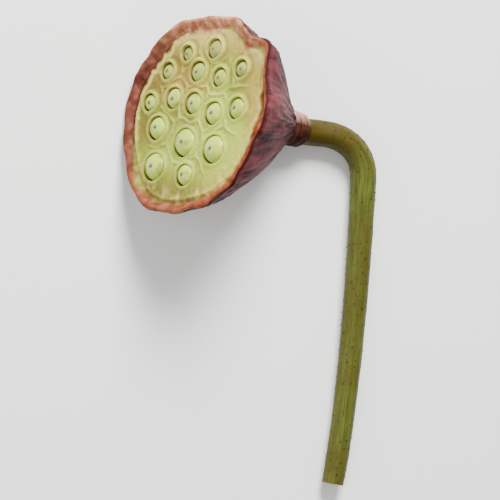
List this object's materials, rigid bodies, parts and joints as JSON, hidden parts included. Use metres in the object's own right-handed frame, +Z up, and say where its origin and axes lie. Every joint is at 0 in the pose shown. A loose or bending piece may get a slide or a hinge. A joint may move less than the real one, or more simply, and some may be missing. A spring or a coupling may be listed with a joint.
{
  "type": "lotus seed pod",
  "caption": "Lotus seed pod lying on its side: a round face of open cells holding nuts, a pleated conical side, and a hooked cut stalk.",
  "frame": {"origin": "middle of the part's footprint, on the surface that it lies on", "axes": "+Z up, -Y along the stalk towards its cut end, -X the side that the seed face looks to"},
  "size_m": [0.115, 0.2018, 0.0764],
  "materials": {
    "pod_skin": "matt",
    "seed_skin": "satin",
    "stalk_skin": "satin"
  },
  "bodies": {
    "root": {"receptacle": "pod_skin", "seed_01": "seed_skin", "seed_02": "seed_skin", "seed_03": "seed_skin", "seed_04": "seed_skin", "seed_05": "seed_skin", "seed_06": "seed_skin", "seed_07": "seed_skin", "seed_08": "seed_skin", "seed_09": "seed_skin", "seed_10": "seed_skin", "seed_11": "seed_skin", "seed_12": "seed_skin", "seed_13": "seed_skin", "seed_14": "seed_skin", "seed_15": "seed_skin", "seed_16": "seed_skin", "stem": "stalk_skin"}
  },
  "joints": []
}
